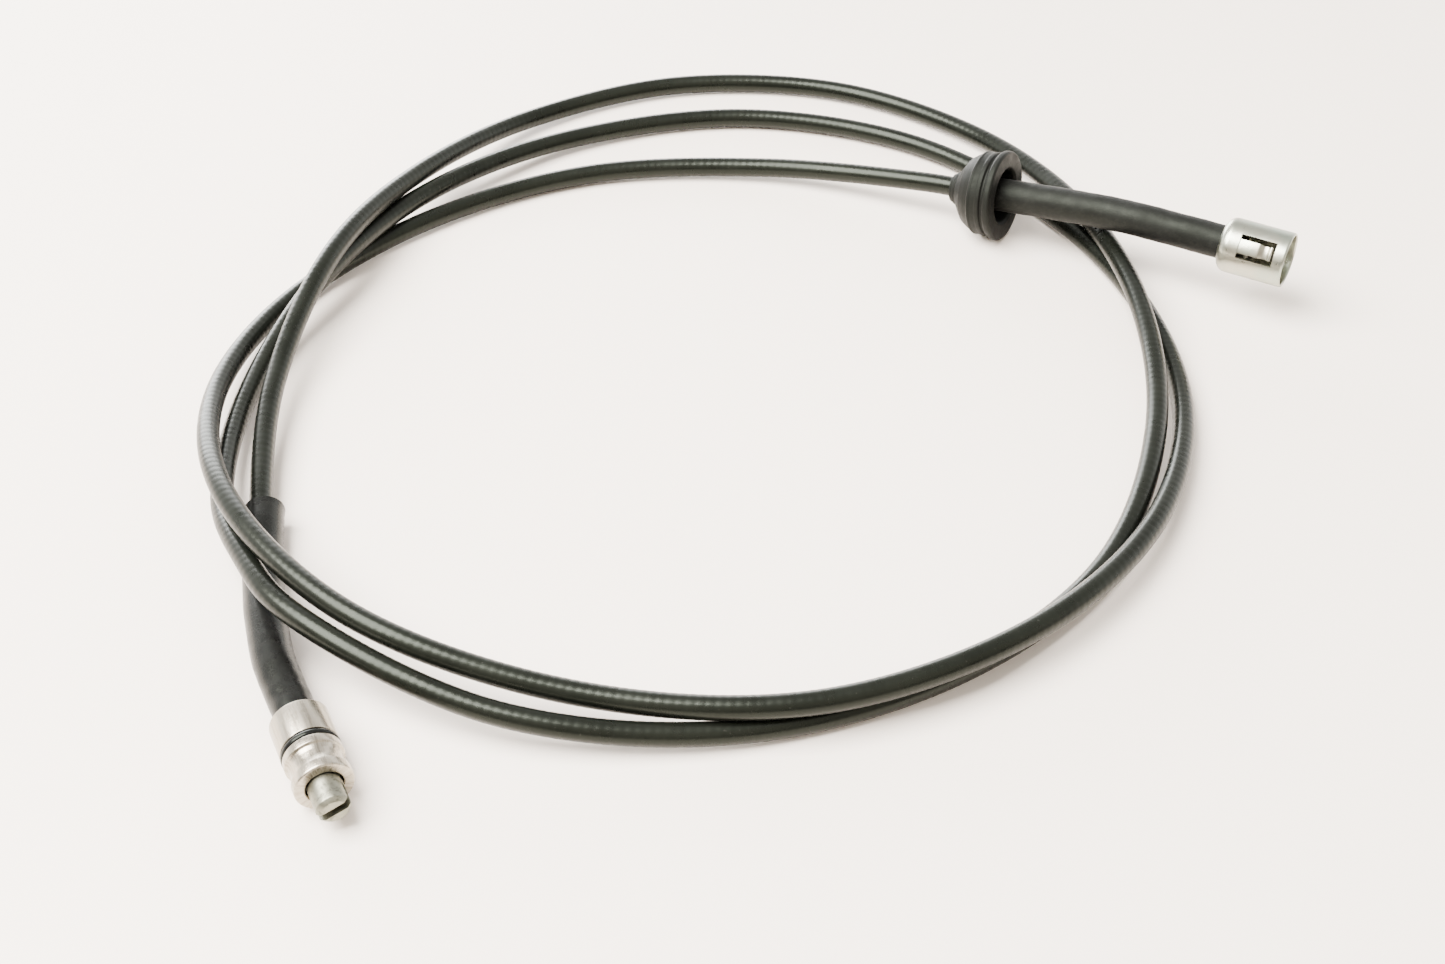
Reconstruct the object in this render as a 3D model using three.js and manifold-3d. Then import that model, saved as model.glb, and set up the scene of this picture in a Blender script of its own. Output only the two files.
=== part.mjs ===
// Speedometer drive cable: a flexible shaft in a spiral conduit and a vinyl sheath, laid in a loose coil.
// Millimetres, +Z up, lying on the plane z = 0. The instrument end points along +X.
import * as THREE from "three";
import { mergeVertices } from "three/addons/utils/BufferGeometryUtils.js";
import Module from "manifold-3d";

const wasm = await Module();
wasm.setup();

// ---- driving dimensions ----------------------------------------------------------------------
const SLIDING_GAP = 0.15; // radial gap between nested round pieces
const END_GAP = 0.3; // gap between faces that meet

const SHEATH_R = 3.0;
const SHEATH_WALL = 0.65;
const SHEATH_PLAY = 0.2; // radial room between the sheath and what it slides into or over
const CONDUIT_R = SHEATH_R - SHEATH_WALL - SHEATH_PLAY;
const CONDUIT_WALL = 0.45;
const CORE_R = 1.25;
const TUBE_STEPS = 80;

const FITTING_R = 7.0;
const FITTING_BACK = 2.4; // back face of the fitting, ahead of the sheath's cut end
const FITTING_LENGTH = 21.6;
const TAIL_LENGTH = 12.0; // thin tail of the fitting, swaged over the cable under the sleeve
const TAIL_R = 4.2;
const TAIL_WALL = 0.45;
const SPINDLE_R = 4.0;
const SPINDLE_REACH = 7.8; // length of spindle beyond the fitting's flange
const SLOT_WIDTH = 2.0;
const SLOT_DEPTH = 6.0;
const SLOT_ANGLE = 18; // degrees that the slot stands up from level
const GEARBOX_SLEEVE_R = 5.1;
const GEARBOX_SLEEVE_LENGTH = 78;

const HOSE_R = 5.0;
const HOSE_BORE_R = 3.65;

const COLLAR_R = 8.1;
const COLLAR_WALL = 0.8;
const COLLAR_LENGTH = 19.8;
const COLLAR_SHOULDER_R = 3.0;
const COLLAR_HOLE_R = 4.3;
const MOUTH = [128, 121, 19]; // centre of the collar's open end
const TONGUE_ANGLE = 145; // degrees about +X, from +Y towards +Z
const TONGUE_HALF = 14.8;
const TONGUE_TIP_GAP = 0.9; // slot across the tongue's free end
const TONGUE_JOGGLE = 0.9; // how far the tongue's nose is pressed in
const WINDOW_HALF = 25.6;
const WINDOW_FROM = -13.7;
const WINDOW_TO = -3.2;
const TIP_ACROSS = 2.6;
const TIP_END = -3.5;

const GROMMET_R = 13.75;
const GROMMET_LENGTH = 17.2;
const GROMMET_TILT = 7; // degrees, nose down
const GROMMET_FLANGE = 2.4;
const GROMMET_MIDDLE_X = 39.1; // where the middle of the flange stands
const GROMMET_BORE_R = 3.5;
const GROMMET_GROOVE_DEPTH = 1.5;
const GROMMET_GROOVE_WIDTH = 1.2;
const GROMMET_BODY_STEP = 0.9; // how much smaller than the flange the body is
const GROMMET_RECESS_R = 8.2;
const GROMMET_RECESS_DEPTH = 8.6;
const GROMMET_EDGE = 0.6; // bevel round the flange

// Centre line of the cable, from the gearbox end to the instrument end.
const ROUTE = [
  [-19.8, -151.5, 7], [-36.2, -139.4, 7], [-67.4, -105.5, 5.2], [-100.9, -57.4, 8.9],
  [-118.2, -6.7, 17], [-126.3, 45.9, 12.6], [-121.6, 103, 4.6], [-92, 147, 3.4],
  [-43, 170.5, 3.4], [10.5, 165.5, 4.3], [58, 135.5, 8.4], [94, 92.8, 10.3],
  [117, 44.5, 6.9], [123.5, -11.6, 3.7], [106, -63, 3.3], [70, -104.5, 3.7],
  [20.8, -130.4, 8.8], [-35.7, -131.8, 15.6], [-59.3, -120.2, 13.7], [-83.5, -100.6, 8.4],
  [-109.5, -57, 5.2], [-121.4, -4.2, 9.6], [-120.6, 49.6, 8], [-102.3, 100.7, 4.1],
  [-62.2, 138.9, 3.3], [-8.5, 151.5, 3.5], [44.5, 137.5, 3.5], [88, 106.3, 3.4],
  [119.5, 60, 4.4], [130, 4.5, 7.7], [117.5, -49.1, 10.1], [84, -92.5, 9.5],
  [35.1, -116.7, 9.8], [-20, -127.2, 17.3], [-73, -109, 18], [-111.9, -68.6, 9.3],
  [-127, -17.5, 3.9], [-117, 37, 3.4], [-87.5, 84, 3.4], [-39, 113, 4.8],
  [13, 121, 10.8], [29, 121, 12.7], [51, 121, 15.6], [77, 121, 18.4],
  [101, 121, 19],
].map(([x, y, z]) => new THREE.Vector3(x, y, z));

// ---- materials -------------------------------------------------------------------------------
const LOOKS = {
  vinyl: { color: 0x1d1e1b, roughness: 0.42, metalness: 0 },
  hose: { color: 0x171716, roughness: 0.6, metalness: 0 },
  rubber: { color: 0x1f1f1e, roughness: 0.75, metalness: 0 },
  seal: { color: 0x101010, roughness: 0.5, metalness: 0 },
  aluminium: { color: 0xc9c6c0, roughness: 0.32, metalness: 1 },
  steel: { color: 0x8d8a84, roughness: 0.4, metalness: 1 },
  wire: { color: 0x77746e, roughness: 0.5, metalness: 1 },
  zinc: { color: 0xd6d6d3, roughness: 0.18, metalness: 1 },
  bronze: { color: 0xa8743c, roughness: 0.45, metalness: 1 },
  nylon: { color: 0xe6e1d3, roughness: 0.5, metalness: 0 },
};

// ---- helpers ---------------------------------------------------------------------------------
const radians = THREE.MathUtils.degToRad;

function mesh(name, geometry, look) {
  const piece = new THREE.Mesh(geometry, new THREE.MeshStandardMaterial(LOOKS[look]));
  piece.name = name;
  return piece;
}

// A turned piece about X. The outline is [x, radius] pairs, from the back up the outside to the front.
function turned(outline, sides = 40) {
  const points = outline.map(([x, radius]) => new THREE.Vector2(radius, x));
  return new THREE.LatheGeometry(points, sides).rotateZ(-Math.PI / 2);
}

// A turned piece with a hole through it: its outline closes on itself.
function turnedRing(outline, sides) {
  return turned([...outline, outline[0]], sides);
}

function polygon(radius, sides) {
  const points = [];
  for (let i = 0; i < sides; i += 1) {
    const angle = (2 * Math.PI * i) / sides;
    points.push(new THREE.Vector2(radius * Math.cos(angle), radius * Math.sin(angle)));
  }
  return points;
}

function tube(path, radius, boreRadius, sides, steps) {
  const section = new THREE.Shape(polygon(radius, sides));
  if (boreRadius > 0) {
    section.holes.push(new THREE.Path(polygon(boreRadius, sides).reverse()));
  }
  return new THREE.ExtrudeGeometry(section, { steps, extrudePath: path, bevelEnabled: false });
}

// A flat outline in the YZ plane, drawn out along X.
function drawnAlongX(shape, from, to) {
  const geometry = new THREE.ExtrudeGeometry(shape, { depth: to - from, bevelEnabled: false });
  const yzx = new THREE.Matrix4().makeBasis(
    new THREE.Vector3(0, 1, 0),
    new THREE.Vector3(0, 0, 1),
    new THREE.Vector3(1, 0, 0),
  );
  return geometry.applyMatrix4(yzx).translate(from, 0, 0);
}

// A pie slice about X, for cutting a round wall.
function slice(middle, half, radius, from, to) {
  const shape = new THREE.Shape();
  shape.moveTo(0, 0);
  for (let step = -4; step <= 4; step += 1) {
    const angle = radians(middle + (half * step) / 4);
    shape.lineTo(radius * Math.cos(angle), radius * Math.sin(angle));
  }
  shape.closePath();
  return drawnAlongX(shape, from, to);
}

function solid(geometry) {
  const bare = geometry.clone();
  bare.deleteAttribute("normal");
  bare.deleteAttribute("uv");
  const merged = mergeVertices(bare, 1e-4);
  const vertProperties = new Float32Array(merged.attributes.position.array);
  const triVerts = new Uint32Array(merged.index.array);
  return new wasm.Manifold(new wasm.Mesh({ numProp: 3, vertProperties, triVerts }));
}

function fromSolid(manifold) {
  const result = manifold.getMesh();
  const geometry = new THREE.BufferGeometry();
  geometry.setAttribute("position", new THREE.BufferAttribute(result.vertProperties, 3));
  geometry.setIndex(new THREE.BufferAttribute(result.triVerts, 1));
  geometry.computeVertexNormals();
  return geometry;
}

// ---- the cable itself ------------------------------------------------------------------------
const route = new THREE.CatmullRomCurve3(ROUTE, false, "centripetal");
route.arcLengthDivisions = 2000;

function makeCable() {
  const sheathBore = SHEATH_R - SHEATH_WALL;
  return [
    mesh("outer_sheath", tube(route, SHEATH_R, sheathBore, 10, TUBE_STEPS), "vinyl"),
    mesh("spiral_conduit", tube(route, CONDUIT_R, CONDUIT_R - CONDUIT_WALL, 8, TUBE_STEPS), "wire"),
    mesh("flexible_shaft", tube(route, CORE_R, 0, 8, TUBE_STEPS), "steel"),
  ];
}

// The stretch of the route between two arc lengths, as a curve of its own.
function stretch(from, to, count) {
  const length = route.getLength();
  const points = [];
  for (let i = 0; i <= count; i += 1) {
    points.push(route.getPointAt((from + ((to - from) * i) / count) / length));
  }
  return points;
}

// ---- gearbox end: built along local +X, from the sheath's cut end ----------------------------
const axisOut = new THREE.Vector3().subVectors(ROUTE[0], ROUTE[1]).normalize();
const FLANGE_END = FITTING_BACK + FITTING_LENGTH;
const CHAMBER_R = 5.1;
const CHAMBER_FROM = FITTING_BACK + 1.6;
const CHAMBER_TO = FLANGE_END - 4.5;
const GROOVE_FROM = FITTING_BACK + 9.6;
const GROOVE_WIDTH = 2.0;
const GROOVE_R = 5.85;
const NECK_FROM = FLANGE_END - 7.5;
const NECK_R = 6.4;
const FLANGE_FROM = FLANGE_END - 3.0;
const FLANGE_R = 6.95;
const MOUTH_R = 4.35;
const CHAMFER = 0.5;
const BUSH_LENGTH = 7.0;
const JOURNAL_R = 2.8;
const WASHER_THICKNESS = 0.7;
const BUSH_FROM = CHAMBER_FROM + END_GAP;
const BUSH_TO = BUSH_FROM + BUSH_LENGTH;
const WASHER_FROM = BUSH_TO + END_GAP;
const WASHER_TO = WASHER_FROM + WASHER_THICKNESS;
const SHOULDER_FROM = WASHER_TO + END_GAP;
const SHOULDER_TO = SHOULDER_FROM + 1.4;
const SHOULDER_R = CHAMBER_R - 0.4;
const SEAL_CLEARANCE = 0.6; // between the turning shoulder and the oil seal
const SPINDLE_END = FLANGE_END + SPINDLE_REACH;
const SPINDLE_CHAMFER = 1.0;
const SPINDLE_BACK = CHAMBER_FROM - 1;
const SHAFT_SEAT = 2; // how far the shaft's end enters past the shoulder
const FERRULE_LENGTH = 7;
const FERRULE_FRONT = 1.4;
const FERRULE_EYE_R = CORE_R + 0.6;

function makeFitting() {
  const tailFrom = FITTING_BACK - TAIL_LENGTH;
  const tailBore = TAIL_R - TAIL_WALL;
  const outline = [
    [tailFrom, tailBore],
    [tailFrom, TAIL_R],
    [FITTING_BACK, TAIL_R],
    [FITTING_BACK, GEARBOX_SLEEVE_R + SHEATH_PLAY],
    [FITTING_BACK, FITTING_R - CHAMFER],
    [FITTING_BACK + CHAMFER, FITTING_R],
    [GROOVE_FROM, FITTING_R],
    [GROOVE_FROM, GROOVE_R],
    [GROOVE_FROM + GROOVE_WIDTH, GROOVE_R],
    [GROOVE_FROM + GROOVE_WIDTH, FITTING_R],
    [NECK_FROM - CHAMFER, FITTING_R],
    [NECK_FROM, NECK_R],
    [FLANGE_FROM, NECK_R],
    [FLANGE_FROM + 0.3, FLANGE_R],
    [FLANGE_END - CHAMFER, FLANGE_R],
    [FLANGE_END, FLANGE_R - CHAMFER],
    [FLANGE_END, MOUTH_R],
    [CHAMBER_TO, MOUTH_R],
    [CHAMBER_TO, CHAMBER_R],
    [CHAMBER_FROM, CHAMBER_R],
    [CHAMBER_FROM, tailBore],
  ];
  return mesh("gearbox_fitting", turnedRing(outline), "aluminium");
}

function makeORing() {
  const from = GROOVE_FROM + SLIDING_GAP;
  const to = GROOVE_FROM + GROOVE_WIDTH - SLIDING_GAP;
  const round = 0.4;
  const outline = [
    [from, GROOVE_R + SLIDING_GAP],
    [from, FITTING_R - round],
    [from + round, FITTING_R],
    [to - round, FITTING_R],
    [to, FITTING_R - round],
    [to, GROOVE_R + SLIDING_GAP],
  ];
  return mesh("o_ring", turnedRing(outline), "seal");
}

function makeGearboxFerrule() {
  const outer = TAIL_R - TAIL_WALL - SLIDING_GAP;
  const inner = SHEATH_R + SHEATH_PLAY;
  const outline = [
    [-FERRULE_LENGTH, inner],
    [-FERRULE_LENGTH, outer],
    [FERRULE_FRONT, outer],
    [FERRULE_FRONT, FERRULE_EYE_R],
    [END_GAP, FERRULE_EYE_R],
    [END_GAP, inner],
  ];
  return mesh("gearbox_ferrule", turnedRing(outline, 32), "steel");
}

function makeBearing() {
  const bush = [
    [BUSH_FROM, JOURNAL_R + SLIDING_GAP],
    [BUSH_FROM, CHAMBER_R - SLIDING_GAP],
    [BUSH_TO, CHAMBER_R - SLIDING_GAP],
    [BUSH_TO, JOURNAL_R + SLIDING_GAP],
  ];
  const washer = [
    [WASHER_FROM, JOURNAL_R + SLIDING_GAP],
    [WASHER_FROM, CHAMBER_R - 2 * SLIDING_GAP],
    [WASHER_TO, CHAMBER_R - 2 * SLIDING_GAP],
    [WASHER_TO, JOURNAL_R + SLIDING_GAP],
  ];
  return [
    mesh("bearing_bush", turnedRing(bush, 32), "bronze"),
    mesh("thrust_washer", turnedRing(washer, 32), "steel"),
  ];
}

function makeOilSeal() {
  const from = SHOULDER_TO + SEAL_CLEARANCE;
  const to = CHAMBER_TO - END_GAP;
  const inner = SPINDLE_R + SLIDING_GAP;
  const outline = [
    [from, inner],
    [from, CHAMBER_R - SLIDING_GAP],
    [to, CHAMBER_R - SLIDING_GAP],
    [to, inner],
  ];
  return mesh("oil_seal", turnedRing(outline, 32), "seal");
}

function makeSpindle() {
  const boreR = CORE_R + SLIDING_GAP;
  const boreTo = SHOULDER_TO + SHAFT_SEAT;
  const outline = [
    [boreTo, 0],
    [boreTo, boreR],
    [SPINDLE_BACK, boreR],
    [SPINDLE_BACK, JOURNAL_R],
    [SHOULDER_FROM, JOURNAL_R],
    [SHOULDER_FROM, SHOULDER_R],
    [SHOULDER_TO, SHOULDER_R],
    [SHOULDER_TO, SPINDLE_R],
    [SPINDLE_END - SPINDLE_CHAMFER, SPINDLE_R],
    [SPINDLE_END, SPINDLE_R - SPINDLE_CHAMFER],
    [SPINDLE_END, 0],
  ];
  const slot = new THREE.BoxGeometry(2 * SLOT_DEPTH, 3 * SPINDLE_R, SLOT_WIDTH);
  slot.rotateX(radians(SLOT_ANGLE)).translate(SPINDLE_END, 0, 0);
  const slotted = solid(turned(outline)).subtract(solid(slot));
  const shaftEnd = [
    [END_GAP, 0],
    [END_GAP, CORE_R],
    [boreTo - END_GAP, CORE_R],
    [boreTo - END_GAP, 0],
  ];
  return [
    mesh("drive_spindle", fromSolid(slotted), "steel"),
    mesh("shaft_end", turned(shaftEnd, 16), "wire"),
  ];
}

function makeGearboxSleeve() {
  const front = ROUTE[0].clone().addScaledVector(axisOut, FITTING_BACK - END_GAP);
  const points = [front, ...stretch(2, GEARBOX_SLEEVE_LENGTH - FITTING_BACK, 12)];
  const path = new THREE.CatmullRomCurve3(points, false, "centripetal");
  const bore = TAIL_R + 2 * SLIDING_GAP;
  return mesh("gearbox_sleeve", tube(path, GEARBOX_SLEEVE_R, bore, 20, 14), "hose");
}

function makeGearboxEnd() {
  const end = new THREE.Group();
  end.add(makeFitting(), makeORing(), makeGearboxFerrule(), ...makeBearing(), makeOilSeal(), ...makeSpindle());
  end.position.copy(ROUTE[0]);
  end.rotation.z = Math.atan2(axisOut.y, axisOut.x);
  return [end, makeGearboxSleeve()];
}

// ---- instrument end: built along +X, back from the collar's mouth ----------------------------
const COLLAR_BACK = -COLLAR_LENGTH;
const SHEATH_END = ROUTE[ROUTE.length - 1].x - MOUTH[0];
const HEAD_FROM = COLLAR_BACK + COLLAR_WALL + 1.1;
const HEAD_TO = HEAD_FROM + 2.0;
const HEAD_R = 6.5;
const NOSE_TO = HEAD_TO + 3.9;
const NOSE_R = 3.4;
const NOSE_BEVEL = 0.3;
const NOSE_BORE_R = 2.75;
const SHANK_BORE_R = 1.6;
const NOSE_BUSH_FROM = HEAD_TO - 0.1;
const SQUARE_FROM = NOSE_TO + 0.5;
const INSTRUMENT_TAIL = 6; // how far the ferrule reaches back over the sheath
const TIP_POINT = 0.8; // length of the taper on the square end
const STOP_WALL = 0.45;
const STOP_LENGTH = 1.5;

function makeCollar() {
  const inner = COLLAR_R - COLLAR_WALL;
  const outline = [[COLLAR_BACK + COLLAR_WALL, COLLAR_HOLE_R], [COLLAR_BACK, COLLAR_HOLE_R]];
  const roundSteps = 5;
  for (let i = 0; i <= roundSteps; i += 1) {
    const angle = (Math.PI / 2) * (i / roundSteps);
    const x = COLLAR_BACK + COLLAR_SHOULDER_R * (1 - Math.cos(angle));
    outline.push([x, COLLAR_R - COLLAR_SHOULDER_R * (1 - Math.sin(angle))]);
  }
  const rimEdge = 0.25;
  outline.push([-2 * rimEdge, COLLAR_R], [0, COLLAR_R - rimEdge], [0, inner + rimEdge / 2], [-rimEdge, inner]);
  const innerR = COLLAR_SHOULDER_R - COLLAR_WALL;
  for (let i = roundSteps; i >= 0; i -= 1) {
    const angle = (Math.PI / 2) * (i / roundSteps);
    const x = COLLAR_BACK + COLLAR_WALL + innerR * (1 - Math.cos(angle));
    outline.push([x, inner - innerR * (1 - Math.sin(angle))]);
  }
  const window = slice(TONGUE_ANGLE, WINDOW_HALF, 2 * COLLAR_R, WINDOW_FROM, WINDOW_TO);
  const body = solid(turnedRing(outline, 48)).subtract(solid(window));
  return mesh("snap_collar", fromSolid(body), "zinc");
}

function makeTongue() {
  const inner = COLLAR_R - COLLAR_WALL;
  const from = WINDOW_FROM + END_GAP;
  const to = WINDOW_TO - TONGUE_TIP_GAP;
  const bendFrom = to - 3.6;
  const bendTo = to - 2.6;
  const lipFrom = to - 0.6;
  const outline = [
    [from, inner],
    [from, COLLAR_R],
    [bendFrom, COLLAR_R],
    [bendTo, COLLAR_R - TONGUE_JOGGLE],
    [lipFrom, COLLAR_R - TONGUE_JOGGLE],
    [lipFrom, COLLAR_R - TONGUE_JOGGLE / 3],
    [to, COLLAR_R - TONGUE_JOGGLE / 3],
    [to, inner - TONGUE_JOGGLE],
    [bendTo - END_GAP, inner - TONGUE_JOGGLE],
    [bendFrom - END_GAP, inner],
  ];
  const wedge = slice(TONGUE_ANGLE, TONGUE_HALF, 2 * COLLAR_R, from - 1, to + 1);
  const body = solid(turnedRing(outline, 48)).intersect(solid(wedge));
  return mesh("latch_tongue", fromSolid(body), "zinc");
}

function makeInstrumentFerrule() {
  const tailFrom = SHEATH_END - INSTRUMENT_TAIL;
  const tailR = HOSE_BORE_R - SLIDING_GAP;
  const tailBore = SHEATH_R + SHEATH_PLAY;
  const neckR = COLLAR_HOLE_R - 2 * SLIDING_GAP;
  const neckFrom = COLLAR_BACK - SHEATH_PLAY;
  const outline = [
    [tailFrom, tailBore],
    [tailFrom, tailR],
    [neckFrom, tailR],
    [neckFrom, neckR],
    [HEAD_FROM, neckR],
    [HEAD_FROM, HEAD_R],
    [HEAD_TO, HEAD_R],
    [HEAD_TO, NOSE_R],
    [NOSE_TO - NOSE_BEVEL, NOSE_R],
    [NOSE_TO, NOSE_R - NOSE_BEVEL],
    [NOSE_TO, NOSE_BORE_R],
    [NOSE_BUSH_FROM - END_GAP, NOSE_BORE_R],
    [NOSE_BUSH_FROM - END_GAP, SHANK_BORE_R],
    [SHEATH_END + END_GAP, SHANK_BORE_R],
    [SHEATH_END + END_GAP, tailBore],
  ];
  return mesh("instrument_ferrule", turnedRing(outline, 32), "steel");
}

function makeNoseBush() {
  const outer = NOSE_BORE_R - SLIDING_GAP;
  const inner = SHANK_BORE_R + SLIDING_GAP;
  const to = NOSE_TO + 0.3;
  const outline = [
    [NOSE_BUSH_FROM, inner],
    [NOSE_BUSH_FROM, outer],
    [to, outer],
    [to, inner],
  ];
  return mesh("nose_bush", turnedRing(outline, 24), "nylon");
}

function makeTip() {
  const corner = TIP_ACROSS / Math.SQRT2;
  const shankTo = SQUARE_FROM + CORE_R / 2;
  const shank = turned([
    [SHEATH_END + END_GAP, 0],
    [SHEATH_END + END_GAP, CORE_R],
    [shankTo, CORE_R],
    [shankTo, 0],
  ], 16);
  const square = turned([
    [SQUARE_FROM, 0],
    [SQUARE_FROM, corner],
    [TIP_END - TIP_POINT, corner],
    [TIP_END, corner - TIP_POINT * 0.75],
    [TIP_END, 0],
  ], 4).rotateX(Math.PI / 4);
  const stopInner = corner + SLIDING_GAP;
  const stopFrom = SQUARE_FROM + SLIDING_GAP;
  const stop = [
    [stopFrom, stopInner],
    [stopFrom, stopInner + STOP_WALL],
    [stopFrom + STOP_LENGTH, stopInner + STOP_WALL],
    [stopFrom + STOP_LENGTH, stopInner],
  ];
  return [
    mesh("square_tip", fromSolid(solid(shank).add(solid(square))), "steel"),
    mesh("core_stop", turnedRing(stop, 20), "steel"),
  ];
}

function makeHose() {
  const length = route.getLength();
  const insideGrommet = GROMMET_RECESS_DEPTH - 0.7 * GROMMET_FLANGE;
  const hoseFrom = length - (ROUTE[ROUTE.length - 1].x - (GROMMET_MIDDLE_X - insideGrommet));
  const points = stretch(hoseFrom, length, 8);
  const back = new THREE.Vector3(MOUTH[0] + COLLAR_BACK - END_GAP, MOUTH[1], MOUTH[2]);
  const path = new THREE.CatmullRomCurve3([...points, back], false, "centripetal");
  return mesh("instrument_hose", tube(path, HOSE_R, HOSE_BORE_R, 20, 12), "hose");
}

function makeInstrumentEnd() {
  const end = new THREE.Group();
  end.add(makeCollar(), makeTongue(), makeInstrumentFerrule(), makeNoseBush(), ...makeTip());
  end.position.set(...MOUTH);
  return [end, makeHose()];
}

// ---- bulkhead grommet: built along +X, back from its front face ------------------------------
function makeGrommet() {
  const tilt = radians(GROMMET_TILT);
  const grooveR = GROMMET_R - GROMMET_GROOVE_DEPTH;
  const grooveFrom = -GROMMET_FLANGE - GROMMET_GROOVE_WIDTH;
  const bodyR = GROMMET_R - GROMMET_BODY_STEP;
  const rim = 0.3;
  const backRimFrom = -8.0;
  const backRimTo = -6.8;
  const frontRimFrom = -5.2;
  const frontRimTo = grooveFrom - 0.1;
  const neckFrom = -GROMMET_LENGTH;
  const lipTo = neckFrom + 1.2;
  const neckTo = neckFrom + 2.4;
  const bulge = 1.1;
  const outline = [
    [neckFrom, GROMMET_BORE_R],
    [neckFrom, 4.4],
    [lipTo, 4.5],
    [lipTo, 5.0],
    [neckTo, 5.2],
    [neckTo, 5.6],
    [(neckTo + backRimFrom) / 2, (5.6 + bodyR) / 2 + bulge],
    [backRimFrom, bodyR - 2 * rim],
    [backRimFrom + rim, bodyR],
    [backRimTo - rim, bodyR],
    [backRimTo, bodyR - rim],
    [frontRimFrom, bodyR - rim],
    [frontRimFrom + rim, bodyR],
    [frontRimTo, bodyR],
    [grooveFrom, grooveR],
    [-GROMMET_FLANGE, grooveR],
    [-GROMMET_FLANGE, GROMMET_R - GROMMET_EDGE],
    [-GROMMET_FLANGE + GROMMET_EDGE, GROMMET_R],
    [-GROMMET_EDGE, GROMMET_R],
    [0, GROMMET_R - GROMMET_EDGE],
    [0, GROMMET_RECESS_R + GROMMET_EDGE],
    [-GROMMET_EDGE, GROMMET_RECESS_R],
    [-GROMMET_RECESS_DEPTH, GROMMET_RECESS_R - rim],
    [-GROMMET_RECESS_DEPTH, GROMMET_BORE_R],
  ];
  const grommet = mesh("bulkhead_grommet", turnedRing(outline, 48), "rubber");
  const middleHeight = GROMMET_R * Math.cos(tilt) + (GROMMET_FLANGE / 2 - GROMMET_EDGE) * Math.sin(tilt);
  const toFront = GROMMET_FLANGE / 2;
  grommet.position.set(
    GROMMET_MIDDLE_X + toFront * Math.cos(tilt),
    MOUTH[1],
    middleHeight + toFront * Math.sin(tilt),
  );
  grommet.rotation.y = -tilt;
  return grommet;
}

const cable = new THREE.Group();
cable.add(...makeCable(), ...makeGearboxEnd(), makeGrommet(), ...makeInstrumentEnd());

export default cable;
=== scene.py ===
"""The looks of a speedometer drive cable, laid in a loose coil. Metres, unless a comment says otherwise."""
import math

import bmesh
import bpy
import numpy as np
from mathutils import Matrix, Vector


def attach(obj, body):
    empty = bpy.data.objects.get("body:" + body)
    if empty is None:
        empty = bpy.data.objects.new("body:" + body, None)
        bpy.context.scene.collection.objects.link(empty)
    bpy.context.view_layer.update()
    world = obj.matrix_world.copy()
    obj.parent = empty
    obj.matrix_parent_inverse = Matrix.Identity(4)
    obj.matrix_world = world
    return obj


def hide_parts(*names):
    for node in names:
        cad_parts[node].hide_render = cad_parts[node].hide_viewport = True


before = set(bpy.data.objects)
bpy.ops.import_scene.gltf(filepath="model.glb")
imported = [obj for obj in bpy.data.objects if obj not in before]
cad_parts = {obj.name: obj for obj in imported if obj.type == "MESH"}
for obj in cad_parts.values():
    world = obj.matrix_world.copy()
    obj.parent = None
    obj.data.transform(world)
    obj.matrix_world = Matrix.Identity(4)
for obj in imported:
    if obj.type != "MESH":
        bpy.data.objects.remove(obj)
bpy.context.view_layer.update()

MM = 0.001

# ---- dimensions of the cable, in millimetres ---------------------------------------------------
# Its centre line, from the gearbox end to the instrument end.
ROUTE_MM = [
    (-19.8, -151.5, 7), (-36.2, -139.4, 7), (-67.4, -105.5, 5.2), (-100.9, -57.4, 8.9),
    (-118.2, -6.7, 17), (-126.3, 45.9, 12.6), (-121.6, 103, 4.6), (-92, 147, 3.4),
    (-43, 170.5, 3.4), (10.5, 165.5, 4.3), (58, 135.5, 8.4), (94, 92.8, 10.3),
    (117, 44.5, 6.9), (123.5, -11.6, 3.7), (106, -63, 3.3), (70, -104.5, 3.7),
    (20.8, -130.4, 8.8), (-35.7, -131.8, 15.6), (-59.3, -120.2, 13.7), (-83.5, -100.6, 8.4),
    (-109.5, -57, 5.2), (-121.4, -4.2, 9.6), (-120.6, 49.6, 8), (-102.3, 100.7, 4.1),
    (-62.2, 138.9, 3.3), (-8.5, 151.5, 3.5), (44.5, 137.5, 3.5), (88, 106.3, 3.4),
    (119.5, 60, 4.4), (130, 4.5, 7.7), (117.5, -49.1, 10.1), (84, -92.5, 9.5),
    (35.1, -116.7, 9.8), (-20, -127.2, 17.3), (-73, -109, 18), (-111.9, -68.6, 9.3),
    (-127, -17.5, 3.9), (-117, 37, 3.4), (-87.5, 84, 3.4), (-39, 113, 4.8),
    (13, 121, 10.8), (29, 121, 12.7), (51, 121, 15.6), (77, 121, 18.4),
    (101, 121, 19),
]
SHEATH_R = 3.0
SHEATH_BORE_R = 2.35
SHEATH_PLAY = 0.2  # room round the sheath in what holds it
RIB_PITCH = 2.3
RIB_HEIGHT = 0.045
RIB_SHARPNESS = 0.6  # below 1, the valleys between the ribs are narrow
CONDUIT_R = 2.15
CONDUIT_BORE_R = 1.7
CORE_R = 1.25
CORE_BORE_R = 0.25
SLIDING_GAP = 0.15  # between nested round pieces
END_GAP = 0.3  # between faces that meet

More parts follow.
